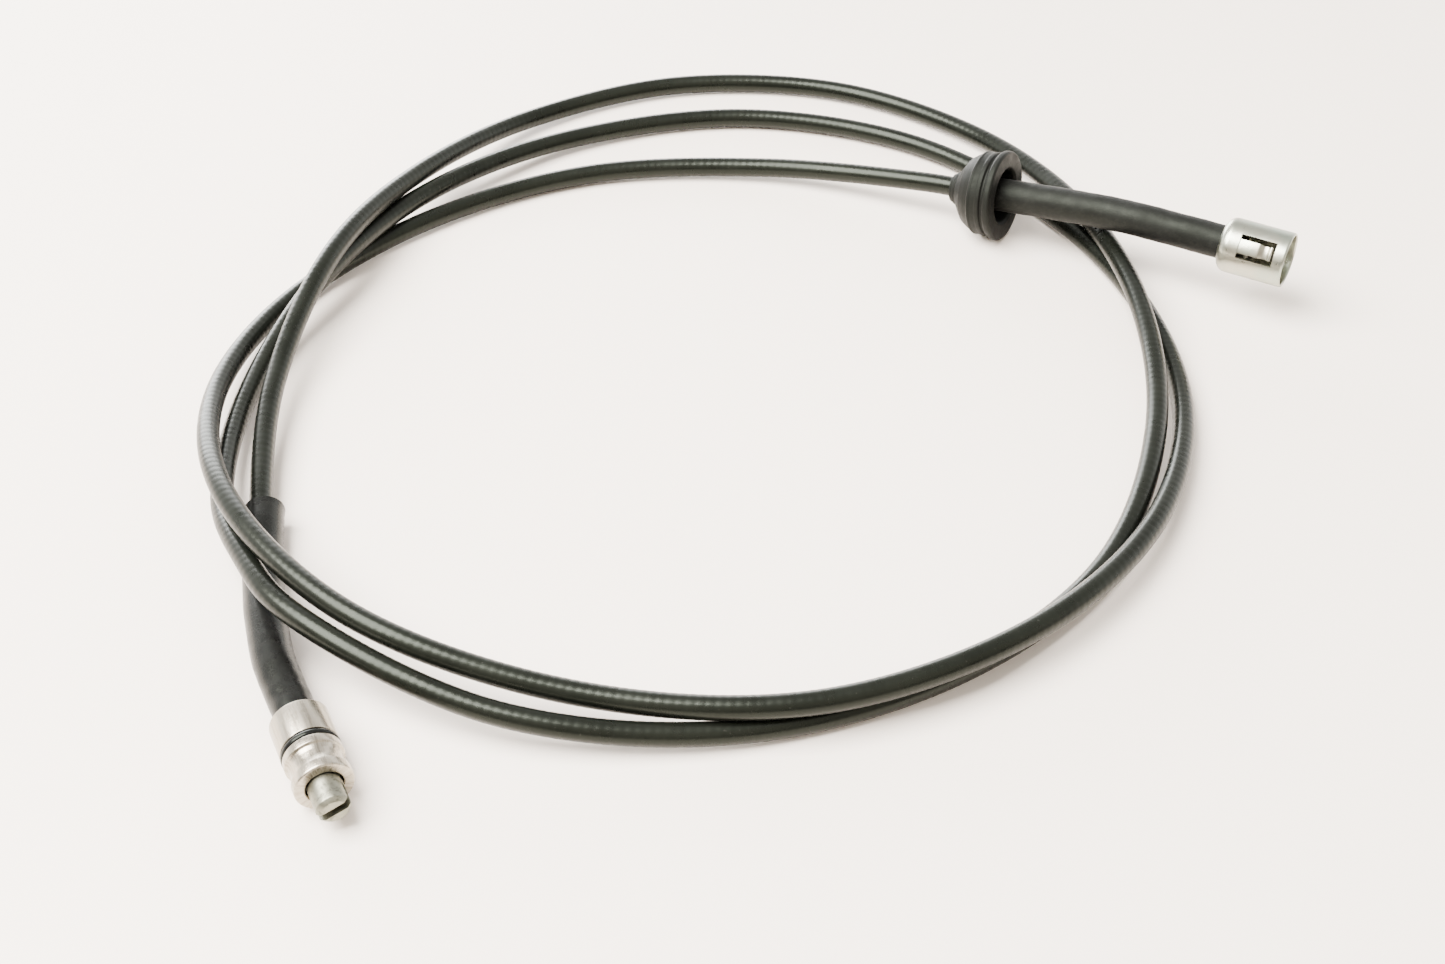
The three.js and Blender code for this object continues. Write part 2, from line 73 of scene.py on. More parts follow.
# Gearbox end: distances along the fitting are from the sheath's cut end.
FITTING_R = 7.0
FITTING_BACK = 2.4
FITTING_BACK_EDGE = 0.35
TAIL_FROM = -9.6
TAIL_R = 4.2
TAIL_WALL = 0.45
GROOVE_FROM = 12.0
GROOVE_TO = 14.0
GROOVE_R = 5.85
NECK = [(16.5, 6.45), (17.6, 6.2), (19.4, 6.15), (20.9, 6.35)]  # (along, radius) of its hollow
NECK_EDGE = 0.4  # length of the slopes at both ends of the neck
FLANGE_END = 24.0
FLANGE_R = 6.95
FLANGE_EDGE = 0.4
FLANGE_EDGE_DROP = 0.3
BORE_R = 4.35  # of the fitting's open end
BORE_EDGE = 0.25
CHAMBER_R = 5.1
CHAMBER_FROM = 4.0
CHAMBER_TO = 19.5
O_RING_HALF = 0.85
O_RING_PLAY = 0.1  # under the ring
O_RING_PROUD = 0.1  # how far it stands out of its groove
SPINDLE_R = 4.0
SPINDLE_BACK = 3.0
SPINDLE_END = 31.8
SPINDLE_CHAMFER = 1.0
JOURNAL_R = 2.8
SHOULDER_FROM = 12.6
SHOULDER_TO = 14.0
SHOULDER_R = 4.7
SHAFT_BORE_R = 1.4
SHAFT_BORE_TO = 16.3
SEAL_CLEARANCE = 0.6  # between the turning shoulder and the oil seal
SLOT_WIDTH = 2.0
SLOT_DEPTH = 6.0
SLOT_ANGLE = math.radians(18)
SLEEVE_R = 5.1
SLEEVE_BORE_R = 4.5
SLEEVE_LENGTH = 78
SLEEVE_LOOSE_FROM = 30  # beyond here the sleeve lies beside the sheath's centre line
SLEEVE_SAG = (-1.0, 0.2)  # how far its open end lies across and above that line
PUCKER_HEIGHT = 0.07
PUCKER_REACH = 14.0  # how fast the puckers die away from the fitting
CREASE_HEIGHT = 0.06
CREASE_AT = 16
CREASE_WIDTH = 3.0
CREASE_SIDE = 1.9  # radians round the sleeve
SLEEVE_WAVE = 0.05
SLEEVE_FLARE = 0.15
FLARE_REACH = 2.0

# Instrument end: distances along it are from the collar's mouth.
MOUTH = (128, 121, 19)
COLLAR_R = 8.1
COLLAR_WALL = 0.8
COLLAR_BACK = -19.8
COLLAR_INNER_R = COLLAR_R - COLLAR_WALL
COLLAR_SHOULDER_R = 3.0
COLLAR_HOLE_R = 4.3
LIP_OUTSIDE = (0.5, 0.2)  # (length, drop) of the bevels at the mouth
LIP_INSIDE = (0.4, 0.15)
WINDOW_FROM = -13.7
WINDOW_TO = -3.2
WINDOW_HALF = math.radians(25.6)
TONGUE_HALF = math.radians(14.8)
TONGUE_ANGLE = math.radians(145)
TONGUE_TIP = WINDOW_TO - 0.9
TONGUE_PRESS = 0.9  # how far its nose is pressed in
# Both faces of its nose, as (distance behind the tip, depth below the wall's face).
TONGUE_OUTSIDE = [(3.6, 0.0), (2.4, TONGUE_PRESS), (1.1, TONGUE_PRESS), (0.5, 0.25), (0.0, 0.3)]
TONGUE_INSIDE = [(0.0, 0.5), (0.9, TONGUE_PRESS), (2.7, TONGUE_PRESS), (3.9, 0.0)]
HOSE_R = 5.0
HOSE_BORE_R = 3.65
HOSE_IN_GROMMET = 6.5  # how far the hose reaches into the grommet's recess
SHEATH_END = ROUTE_MM[-1][0] - MOUTH[0]
FERRULE_TAIL = 6
FERRULE_TAIL_R = 3.5
FERRULE_NECK_FROM = COLLAR_BACK - 0.2
HEAD_FROM = COLLAR_BACK + COLLAR_WALL + 1.1
HEAD_TO = HEAD_FROM + 2.0
HEAD_R = 6.5
NOSE_TO = HEAD_TO + 3.9
NOSE_R = 3.4
NOSE_BEVEL = 0.3
NOSE_BORE_R = 2.75
NOSE_BORE_FROM = HEAD_TO - 0.4
SHANK_BORE_R = 1.6
NOSE_BUSH_FROM = HEAD_TO - 0.1
NOSE_BUSH_BORE_R = 1.75
STOP_FROM = -11.35
STOP_LENGTH = 1.5
STOP_R = 2.44
STOP_BORE_R = 1.99
TIP_EDGE = 0.15

# Grommet: distances along it are from its front face, which leans.
GROMMET_TILT = math.radians(7)
GROMMET_MIDDLE_X = 39.1
GROMMET_LENGTH = 17.2
GROMMET_R = 13.75
GROMMET_EDGE = 0.6  # bevel of the recess, and of the flange where it rests
GROMMET_FLANGE = 2.4
GROMMET_FLANGE_ROUND = 0.5
GROMMET_GROOVE_R = GROMMET_R - 1.5
GROMMET_BODY_R = GROMMET_R - 0.9
GROMMET_BORE_R = 3.5
# Its narrow end as (distance from its back, radius), and its cone and groove as (place, radius).
GROMMET_TAIL = [(0.0, 4.3), (1.2, 4.5), (1.2, 5.0), (2.3, 5.1), (2.4, 5.6), (4.2, 8.2)]
GROMMET_CONE = [(-11.4, 10.3), (-9.6, 11.5)]
GROMMET_BACK_RIM = (-8.0, -6.8)
GROMMET_FRONT_RIM = (-5.2, -3.5)
GROMMET_GROOVE = [
    (GROMMET_FRONT_RIM[1], GROMMET_GROOVE_R + 0.1),
    (-3.0, GROMMET_GROOVE_R),
    (-GROMMET_FLANGE, GROMMET_GROOVE_R + 0.3),
]
GROMMET_RIM_EDGE = 0.3
GROMMET_RIM_STEP = 0.6  # behind the back rim
GROMMET_RIM_HOLLOW = 0.12  # between the rims
GROMMET_RECESS_R = 8.2
GROMMET_RECESS_DEPTH = 8.6
GROMMET_RECESS_DRAFT = 0.3

# ---- camera, floor and light -------------------------------------------------------------------
CAMERA_AT = Vector((0.219, -0.3805, 0.3459))
CAMERA_AIM = Vector((0.022, -0.025, 0.0))
CAMERA_LENS = 50
CAMERA_CLIP = (0.01, 20)
FLOOR_HALF = 3
FLOOR_COLOUR = (0.92, 0.835, 0.755, 1)
FLOOR_ROUGHNESS = 0.4
SKY_STRENGTH = 6.0
# The sky on the camera's side and beyond the part, as (height, level, warmth).
SKY_NEAR = [(0.0, 0.07, 1.0), (0.24, 0.08, 1.0), (0.36, 0.25, 1.5), (0.75, 0.30, 1.5), (0.97, 0.30, 0.6)]
SKY_FAR = [(0.0, 0.65, 0.4), (0.30, 0.55, 0.3), (0.60, 0.20, 0.4), (1.0, 0.24, 0.5)]
SKY_TURN = (-0.35, 0.30)  # where the near side gives way to the far side
SKY_GREEN_LOSS = 0.06  # per unit of warmth
SKY_BLUE_LOSS = 0.14
GLARE_TOWARDS = Vector((-0.76, 0.64, 0.05))
GLARE_EDGE = (0.90, 0.975)  # cosines of the angle from its middle, outer and inner
GLARE_LEVEL = 3.5
KEY_AT = (-0.52, -0.49, 1.2)
KEY_SIZE = 1.1
KEY_POWER = 140
KEY_COLOUR = (1.0, 0.965, 0.92)

# ---- finish and fineness -----------------------------------------------------------------------
SHARP_ANGLE = math.radians(35)
BLACK_SHEEN = (0.90, 1.0, 0.86, 1)  # the black pieces reflect slightly green


# ---- camera ------------------------------------------------------------------------------------
def make_camera():
    camera = bpy.data.objects.new("camera", bpy.data.cameras.new("camera"))
    bpy.context.scene.collection.objects.link(camera)
    camera.location = CAMERA_AT
    camera.rotation_mode = "QUATERNION"
    camera.rotation_quaternion = (CAMERA_AIM - CAMERA_AT).to_track_quat("-Z", "Y")
    camera.data.lens = CAMERA_LENS
    camera.data.clip_start, camera.data.clip_end = CAMERA_CLIP
    bpy.context.scene.camera = camera


# ---- curves ------------------------------------------------------------------------------------
def centripetal(points, per_span=24):
    """The centripetal Catmull-Rom curve through the points, finely sampled."""
    p = np.array(points, float)
    ends = np.vstack([2 * p[0] - p[1], p, 2 * p[-1] - p[-2]])
    sampled = []
    for a, b, c, d in zip(ends[:-3], ends[1:-2], ends[2:-1], ends[3:]):
        ab, bc, cd = (math.sqrt(np.linalg.norm(u - v)) for u, v in ((a, b), (b, c), (c, d)))
        leave = ((b - a) / ab - (c - a) / (ab + bc) + (c - b) / bc) * bc
        arrive = ((c - b) / bc - (d - b) / (bc + cd) + (d - c) / cd) * bc
        t = (np.arange(per_span) / per_span)[:, None]
        sampled.append(
            b + leave * t + (3 * (c - b) - 2 * leave - arrive) * t**2 + (2 * (b - c) + leave + arrive) * t**3
        )
    return np.vstack([*sampled, p[-1:]])


class Path:
    """A curve by arc length, with a frame that doesn't twist. Millimetres."""

    TANGENT_REACH = 1.0

    def __init__(self, points):
        self.points = np.array(points, float)
        steps = np.linalg.norm(np.diff(self.points, axis=0), axis=1)
        self.along = np.concatenate([[0], np.cumsum(steps)])
        self.length = self.along[-1]

    def at(self, s):
        return np.array([np.interp(s, self.along, column) for column in self.points.T]).T

    def frames(self, stations):
        """Centres, and two unit vectors across the curve at each station."""
        ahead = self.at(np.minimum(stations + self.TANGENT_REACH, self.length))
        behind = self.at(np.maximum(stations - self.TANGENT_REACH, 0))
        tangents = ahead - behind
        tangents /= np.linalg.norm(tangents, axis=1)[:, None]
        side = np.cross(np.array([0.0, 0.0, 1.0]), tangents)
        side /= np.linalg.norm(side, axis=1)[:, None]
        return self.at(stations), side, np.cross(tangents, side)


ROUTE = Path(centripetal(ROUTE_MM))
END_A = Vector(ROUTE_MM[0])
OUT_A = (END_A - Vector(ROUTE_MM[1])).normalized()
GEARBOX_END = Matrix.Translation(END_A * MM) @ Matrix.Rotation(math.atan2(OUT_A.y, OUT_A.x), 4, "Z")
INSTRUMENT_END = Matrix.Translation(Vector(MOUTH) * MM)


def grommet_place():
    """The front face's frame: the flange rests on the surface, and its middle stands at its place."""
    cosine, sine = math.cos(GROMMET_TILT), math.sin(GROMMET_TILT)
    half = GROMMET_FLANGE / 2
    x = GROMMET_MIDDLE_X + half * cosine
    z = GROMMET_R * cosine + (half - GROMMET_EDGE) * sine + half * sine
    return Matrix.Translation(Vector((x, MOUTH[1], z)) * MM) @ Matrix.Rotation(-GROMMET_TILT, 4, "Y")


# ---- meshes ------------------------------------------------------------------------------------
def smooth(data):
    data.shade_smooth()
    data.set_sharp_from_angle(angle=SHARP_ANGLE)


def new_object(name, vertices, faces, uvs=None):
    """A smooth-shaded object, its vertices in metres and its faces turned outwards."""
    data = bpy.data.meshes.new(name)
    data.from_pydata([tuple(v) for v in vertices], [], faces)
    if uvs is not None:
        layer = data.uv_layers.new(name="UVMap")
        layer.data.foreach_set("uv", [c for face in uvs for uv in face for c in uv])
    shape = bmesh.new()
    shape.from_mesh(data)
    bmesh.ops.recalc_face_normals(shape, faces=shape.faces)
    shape.to_mesh(data)
    shape.free()
    smooth(data)
    piece = bpy.data.objects.new(name, data)
    bpy.context.scene.collection.objects.link(piece)
    return piece


def grid_faces(rows, columns, start=0):
    """The faces of rows of vertices, each row closed into a ring."""
    faces = []
    for i in range(rows - 1):
        for j in range(columns):
            a = start + i * columns + j
            b = start + i * columns + (j + 1) % columns
            faces.append((a, b, b + columns, a + columns))
    return faces


def tube_mesh(name, path, stations, radius_at, bore, sides, offset=None):
    """A tube with a wall. radius_at(stations, angles) gives its outside, and bore its inside. Millimetres."""
    centres, side, up = path.frames(stations)
    if offset is not None:
        across, above = offset(stations)
        centres = centres + side * across[:, None] + up * above[:, None]
    angles = np.arange(sides) * 2 * math.pi / sides
    outer = radius_at(stations[:, None], angles[None, :]) + np.zeros((len(stations), sides))
    spokes = np.cos(angles)[None, :, None] * side[:, None] + np.sin(angles)[None, :, None] * up[:, None]
    skin = centres[:, None] + spokes * outer[:, :, None]
    lining = centres[:, None] + spokes * bore
    vertices = np.vstack([skin.reshape(-1, 3), lining.reshape(-1, 3)]) * MM
    count = len(stations)
    inner = count * sides
    last = inner - sides
    faces = grid_faces(count, sides) + grid_faces(count, sides, inner)
    for j in range(sides):
        k = (j + 1) % sides
        faces.append((j, inner + j, inner + k, k))
        faces.append((last + j, last + k, inner + last + k, inner + last + j))
    uvs = [tube_uv(face, stations, sides, inner) for face in faces]
    return new_object(name, vertices, faces, uvs)


def tube_uv(face, stations, sides, inner):
    """(millimetres along, turns round) at a face's corners, without a jump where the turns start again."""
    turns = [(v % sides) / sides for v in face]
    wraps = max(turns) - min(turns) > 0.5
    return [(stations[(v % inner) // sides], t + 1 if wraps and t < 0.5 else t) for v, t in zip(face, turns)]


def softened(outline, radius, steps=3):
    """The outline with its corners rounded. It closes on itself unless it starts and ends on the axis."""
    points = [Vector(p) for p in outline]
    closed = points[0].y > 0
    most = 0.45  # of an edge that one rounding may take
    result = []
    for i, corner in enumerate(points):
        if not closed and i in (0, len(points) - 1):
            result.append(corner)
            continue
        before = points[i - 1] - corner
        after = points[(i + 1) % len(points)] - corner
        reach = min(radius, most * before.length, most * after.length)
        start = corner + before.normalized() * reach
        end = corner + after.normalized() * reach
        for step in range(steps + 1):
            t = step / steps
            result.append(start * (1 - t) ** 2 + corner * 2 * t * (1 - t) + end * t**2)
    return result


def turned(name, place, outline, soften, sides):
    """A turned piece about local X, from (x, radius) pairs in millimetres."""
    points = softened(outline, soften)
    closed = points[0].y > 0
    vertices = []
    rings = []
    for x, radius in points:
        count = sides if radius > 0 else 1
        rings.append([len(vertices) + (j % count) for j in range(sides)])
        for j in range(count):
            angle = 2 * math.pi * j / sides
            local = Vector((x, radius * math.cos(angle), radius * math.sin(angle))) * MM
            vertices.append(place @ local)
    run = np.cumsum([0] + [(points[(i + 1) % len(points)] - p).length for i, p in enumerate(points)])
    faces = []
    uvs = []
    for i in range(len(points) if closed else len(points) - 1):
        here, there = rings[i], rings[(i + 1) % len(points)]
        for j in range(sides):
            k = (j + 1) % sides
            corners = [
                (here[j], (run[i], j / sides)),
                (here[k], (run[i], (j + 1) / sides)),
                (there[k], (run[i + 1], (j + 1) / sides)),
                (there[j], (run[i + 1], j / sides)),
            ]
            kept = [c for n, c in enumerate(corners) if c[0] != corners[n - 1][0]]
            faces.append(tuple(c[0] for c in kept))
            uvs.append([c[1] for c in kept])
    return new_object(name, vertices, faces, uvs)


def block(name, place, low, high):
    """A box between two corners, in millimetres of the local frame. Only used to cut with."""
    corners = [(x, y, z) for x in (low[0], high[0]) for y in (low[1], high[1]) for z in (low[2], high[2])]
    faces = [(0, 1, 3, 2), (4, 6, 7, 5), (0, 4, 5, 1), (2, 3, 7, 6), (0, 2, 6, 4), (1, 5, 7, 3)]
    return new_object(name, [place @ (Vector(c) * MM) for c in corners], faces)


def wedge(name, place, middle, half, low, high, reach=20.0, steps=8):
    """A pie slice about local X, in millimetres. Only used to cut with."""
    rim = [middle - half + 2 * half * i / steps for i in range(steps + 1)]
    section = [(0.0, 0.0)] + [(reach * math.cos(a), reach * math.sin(a)) for a in rim]
    vertices = [place @ (Vector((x, y, z)) * MM) for x in (low, high) for y, z in section]
    count = len(section)
    faces = [tuple(range(count)), tuple(range(count, 2 * count))]
    for i in range(count):
        k = (i + 1) % count
        faces.append((i, k, count + k, count + i))
    return new_object(name, vertices, faces)


def carved(piece, cutter, operation="DIFFERENCE"):
    """Cuts piece with cutter, and removes the cutter."""
    change = piece.modifiers.new("carve", "BOOLEAN")
    change.object = cutter
    change.operation = operation
    change.solver = "EXACT"
    evaluated = piece.evaluated_get(bpy.context.evaluated_depsgraph_get())
    result = bpy.data.meshes.new_from_object(evaluated)
    piece.modifiers.clear()
    piece.data = result
    result.name = piece.name
    bpy.data.objects.remove(cutter)
    smooth(result)


# ---- materials ---------------------------------------------------------------------------------
class Surface:
    """A material: its Principled shader, and short ways to make the nodes that feed it."""

    def __init__(self, name, **constants):
        self.material = bpy.data.materials.new(name)
        self.material.use_nodes = True
        self.tree = self.material.node_tree
        self.shader = self.tree.nodes["Principled BSDF"]
        for socket, value in constants.items():
            self.shader.inputs[socket.replace("_", " ")].default_value = value

    def node(self, kind, inputs, output=0, **settings):
        made = self.tree.nodes.new(kind)
        for key, value in settings.items():
            setattr(made, key, value)
        for key, value in inputs.items():
            if isinstance(value, bpy.types.NodeSocket):
                self.tree.links.new(value, made.inputs[key])
            else:
                made.inputs[key].default_value = value
        return made.outputs[output]

    def point(self, source="Object", scale=(1, 1, 1)):
        """Where the surface is: Object in metres, or UV as (millimetres along, turns round)."""
        coordinate = self.node("ShaderNodeTexCoord", {}, source)
        return self.node("ShaderNodeMapping", {"Vector": coordinate, "Scale": scale})

    def noise(self, vector, scale, detail=4.0, roughness=0.55):
        inputs = {"Vector": vector, "Scale": scale, "Detail": detail, "Roughness": roughness}
        return self.node("ShaderNodeTexNoise", inputs, "Fac")

    def ramp(self, factor, *stops):
        """A colour or grey that changes with factor: stops are (position, colour or grey)."""
        made = self.tree.nodes.new("ShaderNodeValToRGB")
        self.tree.links.new(factor, made.inputs["Fac"])
        points = made.color_ramp.elements
        while len(points) < len(stops):
            points.new(0.5)
        for point, (position, colour) in zip(points, stops):
            point.position = position
            point.color = (*colour, 1) if isinstance(colour, tuple) else (colour, colour, colour, 1)
        return made.outputs["Color"]

    def spread(self, factor, low, high, start=0.3, end=0.7):
        """From low to high over the middle of a noise's range."""
        return self.ramp(factor, (start, low), (end, high))

    def patches(self, factor, start, full, amount):
        """Nothing below start, and rising to amount at full."""
        return self.ramp(factor, (start, 0.0), (full, amount))

    def mix(self, factor, a, b):
        made = self.tree.nodes.new("ShaderNodeMix")
        made.data_type = "RGBA"
        for socket, value in ((made.inputs[0], factor), (made.inputs[6], a), (made.inputs[7], b)):
            if isinstance(value, bpy.types.NodeSocket):
                self.tree.links.new(value, socket)
            elif isinstance(value, tuple):
                socket.default_value = (*value, 1)
            else:
                socket.default_value = value
        return made.outputs[2]

    def bump(self, height, depth, strength, under=None):
        """Relief of that depth in metres."""
        inputs = {"Height": height, "Distance": depth, "Strength": strength}
        if under is not None:
            inputs["Normal"] = under
        return self.node("ShaderNodeBump", inputs)

    def finish(self, colour, rough, relief):
        for socket, value in (("Base Color", colour), ("Roughness", rough), ("Normal", relief)):
            self.tree.links.new(value, self.shader.inputs[socket])
        return self.material


def vinyl():
    """Satin black sheath: fine grain, rubbed streaks along it and a little dust."""
    s = Surface("vinyl_sheath", Metallic=0.0, IOR=1.5, Specular_IOR_Level=0.2, Specular_Tint=BLACK_SHEEN)
    deep_black = (0.0024, 0.0028, 0.0020)
    soft_black = (0.0048, 0.0054, 0.0040)
    worn = (0.010, 0.0108, 0.0088)
    dust = (0.05, 0.049, 0.045)
    place = s.point()
    along = s.point("UV", (0.02, 3, 1))
    rubbed = s.patches(s.noise(along, scale=6, detail=5, roughness=0.7), start=0.6, full=0.75, amount=0.5)
    dusty = s.patches(s.noise(place, scale=1500, detail=2), start=0.68, full=0.78, amount=0.35)
    colour = s.spread(s.noise(place, scale=55, detail=3), deep_black, soft_black)
    colour = s.mix(rubbed, colour, worn)
    colour = s.mix(dusty, colour, dust)
    rough = s.spread(s.noise(place, scale=160), 0.24, 0.34)
    grain = s.bump(s.noise(place, scale=2200, detail=3), depth=0.02 * MM, strength=0.4)
    return s.finish(colour, rough, grain)


def rubber(name, tone, rough, grain, bloom):
    """Black rubber with a dusty bloom. grain is its depth in millimetres."""
    s = Surface(name, Metallic=0.0, IOR=1.5, Specular_IOR_Level=0.14, Specular_Tint=BLACK_SHEEN)
    dark = (tone * 0.75, tone * 0.75, tone * 0.70)
    light = (tone * 1.3,) * 3
    dust = (tone * 5, tone * 5, tone * 4.6)
    place = s.point()
    dusty = s.patches(s.noise(place, scale=420, detail=5, roughness=0.7), start=0.5, full=0.8, amount=bloom)
    colour = s.mix(dusty, s.spread(s.noise(place, scale=90), dark, light), dust)
    relief = s.bump(s.noise(place, scale=1800), depth=grain * MM, strength=0.8)
    return s.finish(colour, s.spread(s.noise(place, scale=240), *rough), relief)


def aluminium():
    """Turned aluminium: fine tool lines round it, drawn streaks along it, small knocks."""
    s = Surface("turned_aluminium", Metallic=1.0)
    dull = (0.24, 0.215, 0.17)
    plain_metal = (0.42, 0.38, 0.31)
    bright = (0.50, 0.455, 0.38)
    stain = (0.25, 0.22, 0.175)
    place = s.point()
    tool = s.noise(s.point("UV", (9, 0.4, 1)), scale=3.0, detail=5, roughness=0.75)
    streaks = s.noise(s.point("UV", (0.05, 22, 1)), scale=1.0, detail=4, roughness=0.6)
    blotches = s.noise(place, scale=190, detail=4, roughness=0.7)
    stained = s.patches(blotches, start=0.58, full=0.74, amount=0.45)
    colour = s.mix(stained, s.ramp(streaks, (0.3, dull), (0.5, plain_metal), (0.7, bright)), stain)
    rough = s.spread(s.mix(0.5, tool, streaks), 0.18, 0.36)
    knocks = s.bump(s.noise(place, scale=900, detail=3), depth=0.04 * MM, strength=0.35)
    return s.finish(colour, rough, s.bump(tool, depth=0.02 * MM, strength=0.7, under=knocks))


def steel(name, tone, rough, stain):
    """Oily, lightly stained steel."""
    s = Surface(name, Metallic=1.0)
    dark = tuple(t * 0.72 for t in tone)
    place = s.point()
    mottle = s.noise(place, scale=700, detail=5, roughness=0.7)
    clouds = s.noise(place, scale=260, detail=4, roughness=0.6)
    colour = s.spread(clouds, dark, tone, start=0.35, end=0.65)
    colour = s.mix(s.patches(mottle, start=0.52, full=0.68, amount=0.75), colour, stain)
    lines = s.noise(s.point("UV", (10, 0.5, 1)), scale=3.0, detail=4, roughness=0.7)
    pits = s.bump(mottle, depth=0.03 * MM, strength=0.5)
    relief = s.bump(lines, depth=0.03 * MM, strength=0.6, under=pits)
    return s.finish(colour, s.spread(mottle, *rough), relief)


def zinc():
    """Bright zinc plate on pressed sheet: slightly uneven, with hazy clouds and faint tints."""
    s = Surface("zinc_plate", Metallic=1.0)
    green_tint = (0.35, 0.39, 0.325)
    warm_tint = (0.41, 0.395, 0.325)
    haze = (0.30, 0.30, 0.26)
    place = s.point()
    clouds = s.noise(place, scale=320, detail=4, roughness=0.6)
    hazy = s.patches(clouds, start=0.55, full=0.8, amount=0.35)
    colour = s.spread(s.noise(place, scale=120, detail=2), green_tint, warm_tint, start=0.35, end=0.65)
    colour = s.mix(hazy, colour, haze)
    rough = s.spread(clouds, 0.25, 0.38, end=0.75)
    dents = s.bump(s.noise(place, scale=260, detail=2), depth=0.12 * MM, strength=0.35)
    grain = s.noise(place, scale=2600, detail=3)
    return s.finish(colour, rough, s.bump(grain, depth=0.02 * MM, strength=0.5, under=dents))


def plain(name, low, high, rough, metallic=0.0):
    """The finish of a piece that is nearly always out of sight: two tones and a fine grain."""
    s = Surface(name, Metallic=metallic)
    place = s.point()
    tones = s.noise(place, scale=300)
    grain = s.bump(s.noise(place, scale=1500, detail=3), depth=0.03 * MM, strength=0.6)
    return s.finish(s.spread(tones, low, high), s.spread(tones, rough * 0.85, rough * 1.15), grain)


def make_looks():
    """Every material, under a short name."""
    return {
        "vinyl": vinyl(),
        "sleeve": rubber("sleeve_rubber", tone=0.004, rough=(0.22, 0.34), grain=0.04, bloom=0.25),
        "hose": rubber("hose_rubber", tone=0.0045, rough=(0.46, 0.60), grain=0.07, bloom=0.30),
        "grommet": rubber("grommet_rubber", tone=0.0032, rough=(0.46, 0.64), grain=0.07, bloom=0.08),
        "seal": rubber("seal_rubber", tone=0.004, rough=(0.16, 0.28), grain=0.02, bloom=0.10),
        "aluminium": aluminium(),
        "spindle": steel("spindle_steel", (0.27, 0.27, 0.215), rough=(0.30, 0.50), stain=(0.06, 0.06, 0.045)),
        "steel": steel("tip_steel", (0.28, 0.27, 0.24), rough=(0.28, 0.50), stain=(0.10, 0.095, 0.08)),
        "zinc": zinc(),
        "wire": plain("conduit_wire", (0.30, 0.29, 0.27), (0.45, 0.44, 0.41), rough=0.45, metallic=1.0),
        "bronze": plain("sintered_bronze", (0.42, 0.25, 0.11), (0.56, 0.35, 0.17), rough=0.42, metallic=1.0),
        "nylon": plain("nylon", (0.74, 0.71, 0.62), (0.82, 0.79, 0.71), rough=0.45),
    }


def coat(piece, material):
    piece.data.materials.clear()
    piece.data.materials.append(material)


def dress(piece, body, material, node):
    """Gives a piece its body, material slot and material, and hides the CAD node it stands for."""
    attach(piece, body)
    coat(piece, material)
    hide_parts(node)
    return piece


# ---- the cable ---------------------------------------------------------------------------------
def stations_along(path, step):
    return np.append(np.arange(0, path.length, step), path.length)


def make_sheath(material):
    """The vinyl tube, ribbed by the wire under it, which winds round it."""
    steps_per_rib = 5

    def radius(s, angle):
        turn = s / RIB_PITCH + angle / (2 * math.pi)
        rib = np.abs(np.sin(math.pi * turn)) ** RIB_SHARPNESS
        return SHEATH_R - RIB_HEIGHT * (1 - rib)

    stations = stations_along(ROUTE, RIB_PITCH / steps_per_rib)
    sheath = tube_mesh("sheath", ROUTE, stations, radius, SHEATH_BORE_R, sides=24)
    return dress(sheath, "cable", material, "outer_sheath")


def make_inner_tubes(material):
    """The conduit and the shaft inside it, both of wound wire."""
    stations = stations_along(ROUTE, 3.0)
    conduit = tube_mesh("conduit", ROUTE, stations, lambda s, a: CONDUIT_R, CONDUIT_BORE_R, sides=16)
    dress(conduit, "cable", material, "spiral_conduit")
    shaft = tube_mesh("shaft", ROUTE, stations, lambda s, a: CORE_R, CORE_BORE_R, sides=12)
    dress(shaft, "cable", material, "flexible_shaft")


# ---- gearbox end -------------------------------------------------------------------------------
def make_fitting(material):
    outline = [
        (TAIL_FROM, TAIL_R - TAIL_WALL),
        (TAIL_FROM, TAIL_R),
        (FITTING_BACK, TAIL_R),
        (FITTING_BACK, FITTING_R - FITTING_BACK_EDGE),
        (FITTING_BACK + FITTING_BACK_EDGE, FITTING_R),
        (GROOVE_FROM, FITTING_R),
        (GROOVE_FROM, GROOVE_R),
        (GROOVE_TO, GROOVE_R),
        (GROOVE_TO, FITTING_R),
        (NECK[0][0] - NECK_EDGE, FITTING_R),
        *NECK,
        (NECK[-1][0] + NECK_EDGE, FLANGE_R),
        (FLANGE_END - FLANGE_EDGE, FLANGE_R),
        (FLANGE_END, FLANGE_R - FLANGE_EDGE_DROP),
        (FLANGE_END, BORE_R + BORE_EDGE),
        (FLANGE_END - BORE_EDGE, BORE_R),
        (CHAMBER_TO, BORE_R),
        (CHAMBER_TO, CHAMBER_R),
        (CHAMBER_FROM, CHAMBER_R),
        (CHAMBER_FROM, TAIL_R - TAIL_WALL),
    ]
    fitting = turned("fitting", GEARBOX_END, outline, soften=0.18, sides=128)
    dress(fitting, "cable", material, "gearbox_fitting")


def make_o_ring(material):
    middle = (GROOVE_FROM + GROOVE_TO) / 2
    bottom = GROOVE_R + O_RING_PLAY
    height = FITTING_R + O_RING_PROUD - bottom
    steps = 14
    angles = [2 * math.pi * i / steps for i in range(steps)]
    outline = [(middle - O_RING_HALF * math.cos(a), bottom + height / 2 * (1 + math.sin(a))) for a in angles]
    ring = turned("seal_ring", GEARBOX_END, outline, soften=0.05, sides=96)
    dress(ring, "cable", material, "o_ring")


